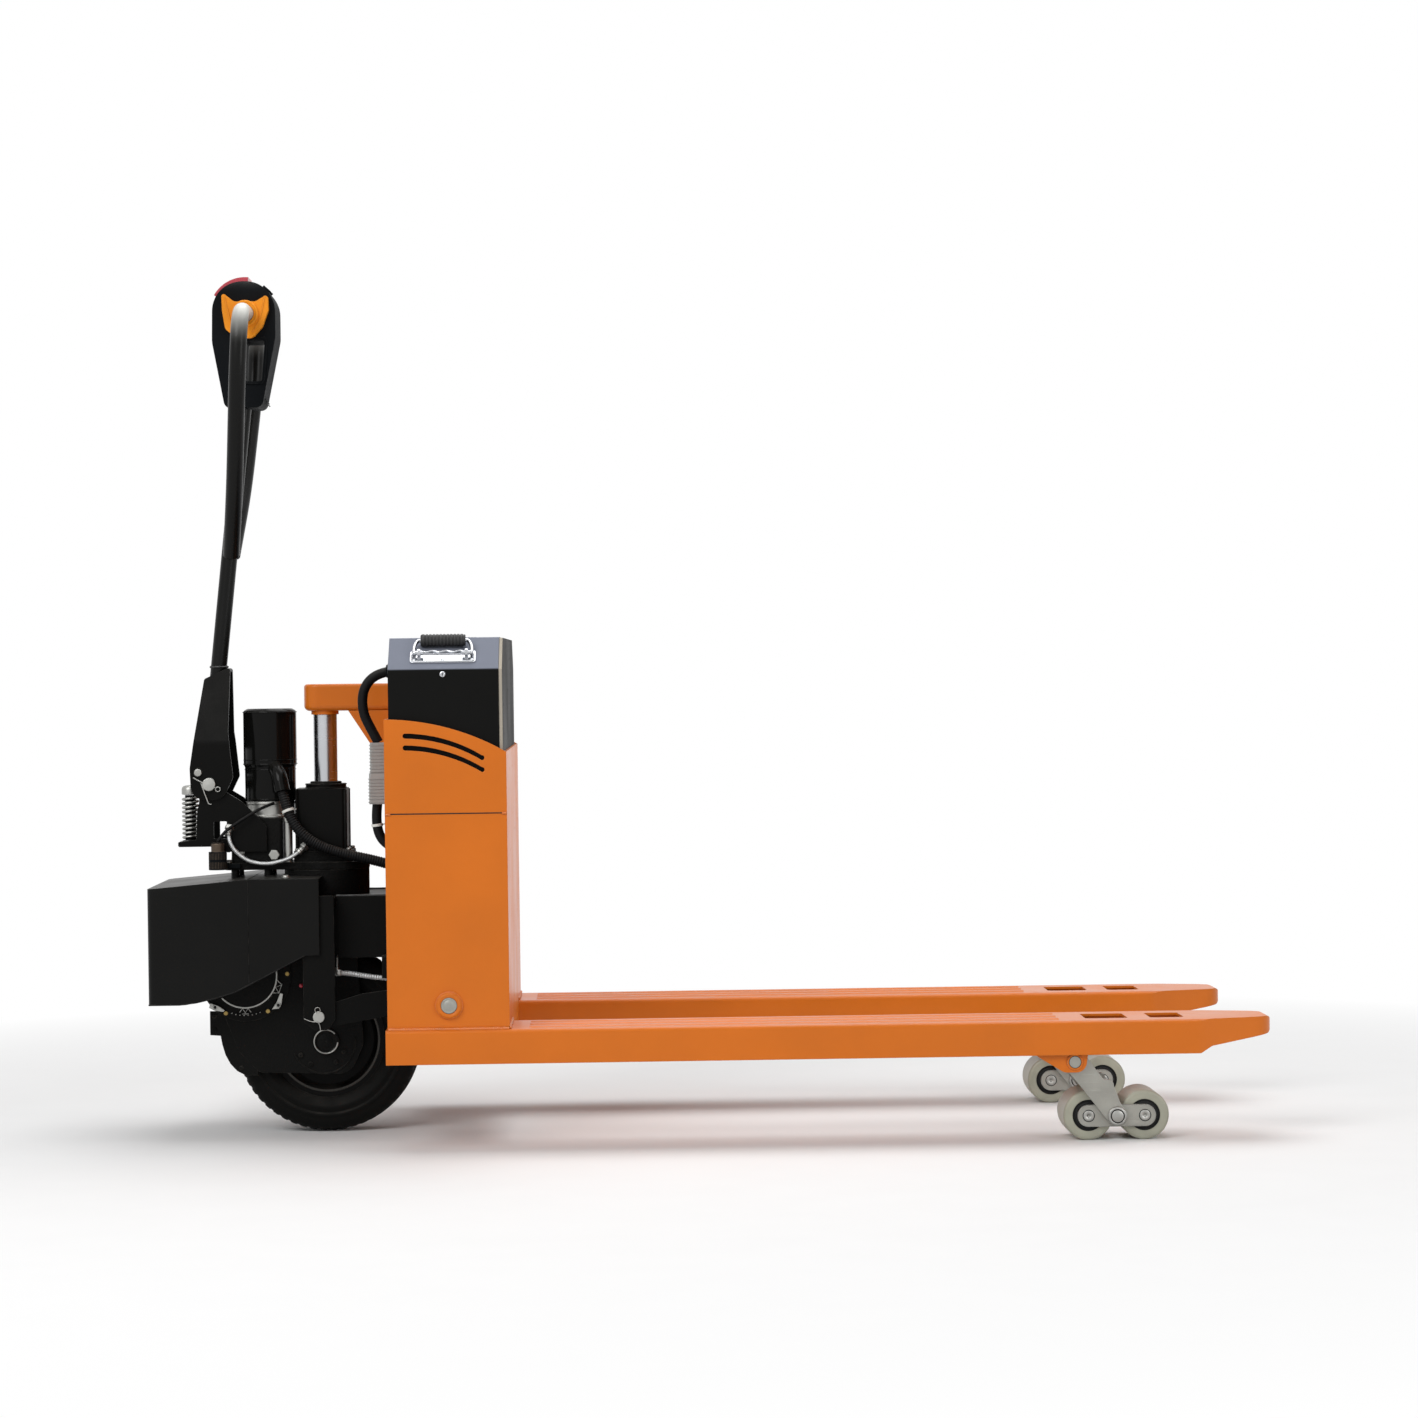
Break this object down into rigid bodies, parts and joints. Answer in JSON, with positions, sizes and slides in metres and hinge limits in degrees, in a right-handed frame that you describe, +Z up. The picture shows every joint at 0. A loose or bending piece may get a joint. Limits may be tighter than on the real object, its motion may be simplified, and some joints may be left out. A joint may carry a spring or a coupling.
{
  "type": "electric pallet truck",
  "caption": "Powered pallet truck: raised forks with tandem load rollers, battery tower, steered large drive wheel under a hood, lift ram and tiller with control head.",
  "frame": {"origin": "On the floor, under the middle of the truck's length and width.", "axes": "+X along the forks to their tips, +Y to the truck's left, +Z up."},
  "size_m": [1.826, 0.685, 1.4325],
  "materials": {
    "orange_paint": "glossy orange enamel",
    "black_paint": "satin black enamel",
    "black_cast": "black painted casting",
    "black_plastic": "moulded black plastic",
    "black_rubber": "black rubber",
    "tyre_rubber": "black tyre rubber",
    "zinc": "zinc plated steel",
    "chrome_steel": "hard chrome",
    "roller_polymer": "cast polyurethane",
    "grey_plastic": "grey moulded plastic",
    "red_plastic": "red moulded plastic",
    "amber_plastic": "amber moulded plastic",
    "brass": "plain brass"
  },
  "bodies": {
    "chassis": {"fork_left": "orange_paint", "fork_right": "orange_paint", "roller_brackets": "orange_paint", "yoke_pins": "zinc", "tower_frame": "orange_paint", "battery_holder": "orange_paint", "battery_case": "black_paint", "case_end_strip": "grey_plastic", "battery_cells": "black_plastic", "case_fittings": "chrome_steel", "lift_arm": "orange_paint", "lift_ram": "chrome_steel", "battery_lead": "black_rubber", "supply_lead": "black_rubber", "lead_fittings": "grey_plastic", "motor_controller": "black_plastic"},
    "carriage": {"bearing_ring": "black_cast", "carrier_frame": "black_paint", "hanger_pins": "zinc"},
    "rocker": {"rocker_shaft": "zinc", "rocker_levers": "black_paint", "rocker_cranks": "black_paint"},
    "rod_left": {"push_rod_left": "black_paint"},
    "rod_right": {"push_rod_right": "black_paint"},
    "yoke_arm_left": {"yoke_left": "zinc"},
    "yoke_arm_right": {"yoke_right": "zinc"},
    "bogie_pair_left": {"bogie_left": "zinc"},
    "bogie_pair_right": {"bogie_right": "zinc"},
    "load_roller_left_rear": {"roller_left_rear": "roller_polymer"},
    "load_roller_left_front": {"roller_left_front": "roller_polymer"},
    "load_roller_right_rear": {"roller_right_rear": "roller_polymer"},
    "load_roller_right_front": {"roller_right_front": "roller_polymer"},
    "drive_head": {"drive_frame": "black_cast", "wheel_axle": "zinc", "drive_motor": "black_cast", "motor_screws": "brass", "base_casting": "black_cast", "lift_cylinder": "black_paint", "pump_block": "black_cast", "pump_motor": "black_rubber", "pump_fittings": "zinc", "motor_harness": "black_rubber", "head_hoses": "black_rubber", "wire_gland": "black_plastic", "drive_hood": "black_paint", "tiller_clevis": "black_paint", "tiller_pin": "zinc", "tiller_spring": "chrome_steel"},
    "drive_wheel": {"drive_tyre": "tyre_rubber", "wheel_rim": "black_paint"},
    "tiller": {"tiller_bracket": "black_paint", "tiller_frame": "black_paint", "control_head": "black_plastic"},
    "thumb": {"thumb_switch": "amber_plastic"},
    "belly": {"belly_button": "red_plastic"},
    "raise": {"raise_key": "black_plastic"},
    "lower": {"lower_key": "black_plastic"},
    "handle_left": {"case_handle_left": "chrome_steel"},
    "handle_right": {"case_handle_right": "chrome_steel"}
  },
  "joints": [
    {"name": "lift", "type": "slide", "parent": "chassis", "child": "carriage", "axis": [0, 0, 1], "range_m": [0, 0.108]},
    {"name": "steer", "type": "hinge", "parent": "carriage", "child": "drive_head", "pos_m": [-0.629, 0, 0.3], "axis": [0, 0, 1], "range_deg": [-45, 45], "deforming": ["motor_harness"]},
    {"name": "wheel_spin", "type": "hinge", "parent": "drive_head", "child": "drive_wheel", "pos_m": [-0.629, 0, 0.155], "axis": [0, 1, 0], "continuous": true},
    {"name": "tiller_tilt", "type": "hinge", "parent": "drive_head", "child": "tiller", "pos_m": [-0.819, 0, 0.585], "axis": [0, -1, 0], "range_deg": [0, 75], "stiffness_Nm_per_rad": 30, "springref_deg": -40.11, "deforming": ["tiller_spring"]},
    {"name": "thumb_turn", "type": "hinge", "parent": "tiller", "child": "thumb", "pos_m": [-0.748, 0, 1.3685], "axis": [0, -1, 0], "range_deg": [-30, 30], "stiffness_Nm_per_rad": 0.6},
    {"name": "belly_press", "type": "slide", "parent": "tiller", "child": "belly", "axis": [0.454, 0, -0.891], "range_m": [0, 0.004], "stiffness_N_per_m": 400},
    {"name": "raise_press", "type": "slide", "parent": "tiller", "child": "raise", "axis": [-0.6691, 0, -0.7431], "range_m": [0, 0.003], "stiffness_N_per_m": 300},
    {"name": "lower_press", "type": "slide", "parent": "tiller", "child": "lower", "axis": [-0.6691, 0, -0.7431], "range_m": [0, 0.003], "stiffness_N_per_m": 300},
    {"name": "rocker_turn", "type": "hinge", "parent": "chassis", "child": "rocker", "pos_m": [-0.4115, 0, 0.235], "axis": [0, 1, 0], "range_deg": [0, 27.6]},
    {"name": "rod_left_slide", "type": "slide", "parent": "chassis", "child": "rod_left", "axis": [-1, 0, 0], "range_m": [0, 0.03517]},
    {"name": "yoke_left_turn", "type": "hinge", "parent": "chassis", "child": "yoke_arm_left", "pos_m": [0.59, 0.2625, 0.129], "axis": [0, -1, 0], "range_deg": [0, 62.19]},
    {"name": "bogie_left_turn", "type": "hinge", "parent": "yoke_arm_left", "child": "bogie_pair_left", "pos_m": [0.65865, 0.2625, 0.04], "axis": [0, 1, 0], "range_deg": [0, 62.19]},
    {"name": "roller_left_rear_spin", "type": "hinge", "parent": "bogie_pair_left", "child": "load_roller_left_rear", "pos_m": [0.61315, 0.2625, 0.04], "axis": [0, 1, 0], "continuous": true},
    {"name": "roller_left_front_spin", "type": "hinge", "parent": "bogie_pair_left", "child": "load_roller_left_front", "pos_m": [0.70415, 0.2625, 0.04], "axis": [0, 1, 0], "continuous": true},
    {"name": "rod_right_slide", "type": "slide", "parent": "chassis", "child": "rod_right", "axis": [-1, 0, 0], "range_m": [0, 0.03517]},
    {"name": "yoke_right_turn", "type": "hinge", "parent": "chassis", "child": "yoke_arm_right", "pos_m": [0.59, -0.2625, 0.129], "axis": [0, -1, 0], "range_deg": [0, 62.19]},
    {"name": "bogie_right_turn", "type": "hinge", "parent": "yoke_arm_right", "child": "bogie_pair_right", "pos_m": [0.65865, -0.2625, 0.04], "axis": [0, 1, 0], "range_deg": [0, 62.19]},
    {"name": "roller_right_rear_spin", "type": "hinge", "parent": "bogie_pair_right", "child": "load_roller_right_rear", "pos_m": [0.61315, -0.2625, 0.04], "axis": [0, 1, 0], "continuous": true},
    {"name": "roller_right_front_spin", "type": "hinge", "parent": "bogie_pair_right", "child": "load_roller_right_front", "pos_m": [0.70415, -0.2625, 0.04], "axis": [0, 1, 0], "continuous": true},
    {"name": "handle_right_lift", "type": "hinge", "parent": "chassis", "child": "handle_right", "pos_m": [-0.4155, -0.30778, 0.79864], "axis": [1, 0, 0], "range_deg": [0, 115]},
    {"name": "handle_left_lift", "type": "hinge", "parent": "chassis", "child": "handle_left", "pos_m": [-0.4155, 0.30778, 0.79864], "axis": [-1, 0, 0], "range_deg": [0, 115]}
  ],
  "couplings": [
    {"joint": "rocker_turn", "follows": "lift", "rad_per_m": 4.4441},
    {"joint": "rod_left_slide", "follows": "lift", "ratio": 0.32469},
    {"joint": "yoke_left_turn", "follows": "lift", "rad_per_m": 10.034},
    {"joint": "bogie_left_turn", "follows": "lift", "rad_per_m": 10.034},
    {"joint": "rod_right_slide", "follows": "lift", "ratio": 0.32469},
    {"joint": "yoke_right_turn", "follows": "lift", "rad_per_m": 10.034},
    {"joint": "bogie_right_turn", "follows": "lift", "rad_per_m": 10.034}
  ]
}
